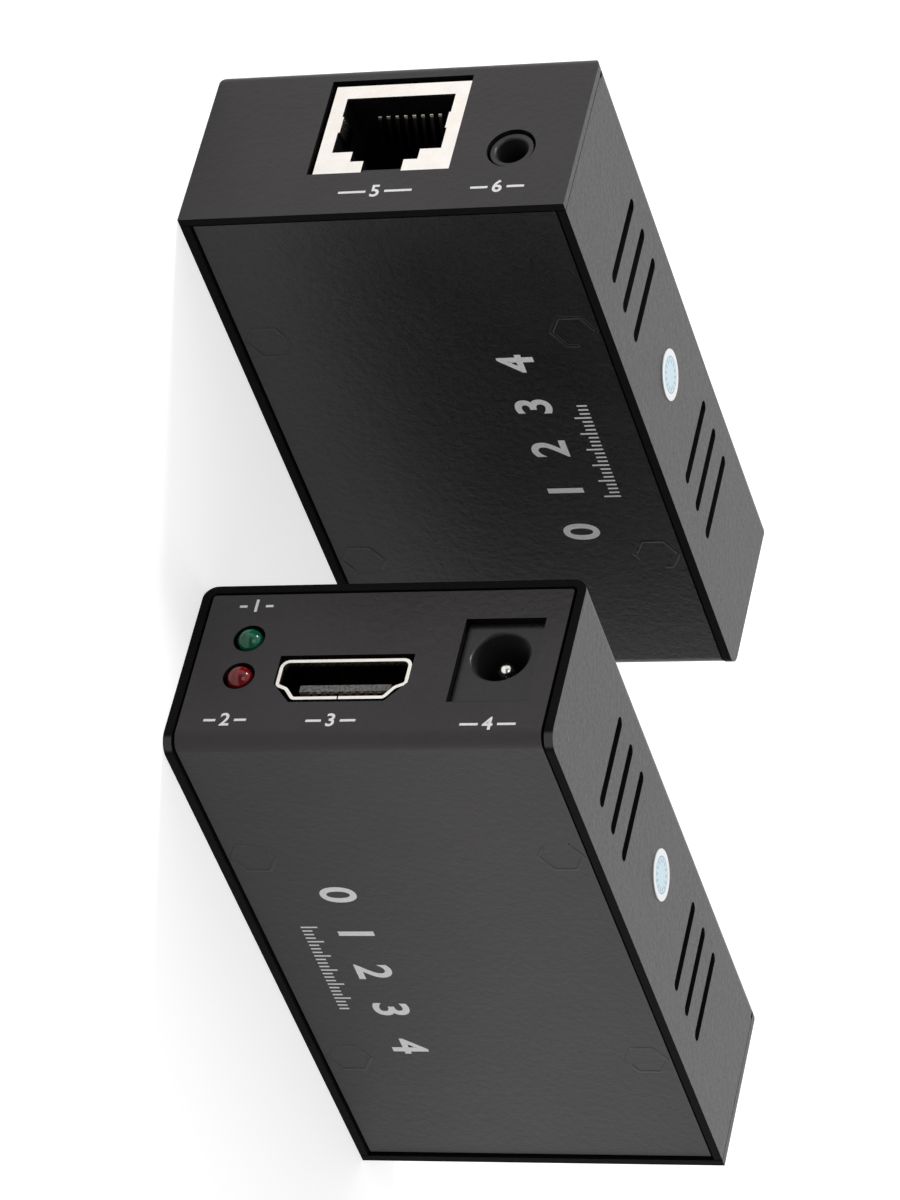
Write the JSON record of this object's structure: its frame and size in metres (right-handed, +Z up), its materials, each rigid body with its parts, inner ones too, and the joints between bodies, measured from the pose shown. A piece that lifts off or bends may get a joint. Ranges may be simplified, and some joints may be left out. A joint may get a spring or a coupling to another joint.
{
  "type": "hdmi extender",
  "caption": "Pair of slim sheet-metal boxes that carry an HDMI picture over network cable, with HDMI, power, network and infrared sockets, vents and status lamps.",
  "frame": {"origin": "centre of the pair's footprint, on the surface it stands on", "axes": "+X along both units, away from the pictured ends; +Y from the sender to the receiver, across their flat sides; +Z up, across the width of the units, which stand on a narrow side"},
  "size_m": [0.111, 0.072, 0.0451],
  "materials": {
    "case_paint": "fine-textured black powder coat on sheet steel",
    "standoff_paint": "steel, painted over with the case",
    "screw_black": "black oxide",
    "spacer_brass": "nickelled brass, turned",
    "board_green": "solder mask over glass fibre",
    "port_nickel": "warm nickel plate",
    "contact_gold": "thin gold plate",
    "contact_tin": "tin plate",
    "jack_black": "moulded black thermoplastic",
    "lens_green": "tinted clear epoxy",
    "lens_red": "tinted clear epoxy",
    "chip_black": "moulded epoxy",
    "ferrite_grey": "sintered ferrite",
    "can_aluminium": "drawn can",
    "chip_ceramic": "ceramic with solder ends",
    "label_paper": "coated paper"
  },
  "bodies": {
    "pair": {"sender_shell": "case_paint", "sender_base": "case_paint", "sender_standoffs": "standoff_paint", "sender_board": "board_green", "sender_spacers": "spacer_brass", "sender_case_screws": "screw_black", "sender_hdmi_shell": "port_nickel", "sender_hdmi_insulator": "jack_black", "sender_hdmi_contacts": "contact_gold", "sender_dc_housing": "jack_black", "sender_dc_pin": "contact_tin", "sender_rj45_shield": "port_nickel", "sender_rj45_housing": "jack_black", "sender_rj45_pins": "contact_tin", "sender_ir_jack": "jack_black", "sender_led_green": "lens_green", "sender_led_red": "lens_red", "sender_led_holder": "jack_black", "sender_link_chip": "chip_black", "sender_hdmi_chip": "chip_black", "sender_magnetics": "chip_black", "sender_inductor": "ferrite_grey", "sender_regulator": "chip_black", "sender_capacitors": "can_aluminium", "sender_crystal": "can_aluminium", "sender_chip_parts": "chip_ceramic", "sender_label": "label_paper", "receiver_shell": "case_paint", "receiver_base": "case_paint", "receiver_standoffs": "standoff_paint", "receiver_board": "board_green", "receiver_spacers": "spacer_brass", "receiver_case_screws": "screw_black", "receiver_hdmi_shell": "port_nickel", "receiver_hdmi_insulator": "jack_black", "receiver_hdmi_contacts": "contact_gold", "receiver_dc_housing": "jack_black", "receiver_dc_pin": "contact_tin", "receiver_rj45_shield": "port_nickel", "receiver_rj45_housing": "jack_black", "receiver_rj45_pins": "contact_tin", "receiver_ir_jack": "jack_black", "receiver_led_green": "lens_green", "receiver_led_red": "lens_red", "receiver_led_holder": "jack_black", "receiver_link_chip": "chip_black", "receiver_hdmi_chip": "chip_black", "receiver_magnetics": "chip_black", "receiver_inductor": "ferrite_grey", "receiver_regulator": "chip_black", "receiver_capacitors": "can_aluminium", "receiver_crystal": "can_aluminium", "receiver_chip_parts": "chip_ceramic", "receiver_label": "label_paper"},
    "sender_port_wires": {"sender_rj45_contacts": "contact_gold"},
    "sender_power_leaf": {"sender_dc_spring": "contact_tin"},
    "sender_jack_leaf": {"sender_ir_spring": "contact_tin"},
    "receiver_port_wires": {"receiver_rj45_contacts": "contact_gold"},
    "receiver_power_leaf": {"receiver_dc_spring": "contact_tin"},
    "receiver_jack_leaf": {"receiver_ir_spring": "contact_tin"}
  },
  "joints": [
    {"name": "sender_port_wires_lift", "type": "hinge", "parent": "pair", "child": "sender_port_wires", "pos_m": [0.0519, -0.0179, 0.0225], "axis": [0, 0, -1], "range_deg": [0, 18], "stiffness_Nm_per_rad": 0.05},
    {"name": "sender_power_leaf_press", "type": "hinge", "parent": "pair", "child": "sender_power_leaf", "pos_m": [-0.01407, -0.02693, 0.0366], "axis": [0, 0, 1], "range_deg": [0, 5], "stiffness_Nm_per_rad": 0.05},
    {"name": "sender_jack_leaf_press", "type": "hinge", "parent": "pair", "child": "sender_jack_leaf", "pos_m": [0.04402, -0.0272, 0.00968], "axis": [0, -1, 0], "range_deg": [0, 6], "stiffness_Nm_per_rad": 0.03},
    {"name": "receiver_port_wires_lift", "type": "hinge", "parent": "pair", "child": "receiver_port_wires", "pos_m": [-0.0519, 0.0316, 0.0225], "axis": [0, 0, 1], "range_deg": [0, 18], "stiffness_Nm_per_rad": 0.05},
    {"name": "receiver_power_leaf_press", "type": "hinge", "parent": "pair", "child": "receiver_power_leaf", "pos_m": [0.01407, 0.02257, 0.0084], "axis": [0, 0, -1], "range_deg": [0, 5], "stiffness_Nm_per_rad": 0.05},
    {"name": "receiver_jack_leaf_press", "type": "hinge", "parent": "pair", "child": "receiver_jack_leaf", "pos_m": [-0.04402, 0.0223, 0.03532], "axis": [0, -1, 0], "range_deg": [0, 6], "stiffness_Nm_per_rad": 0.03}
  ]
}
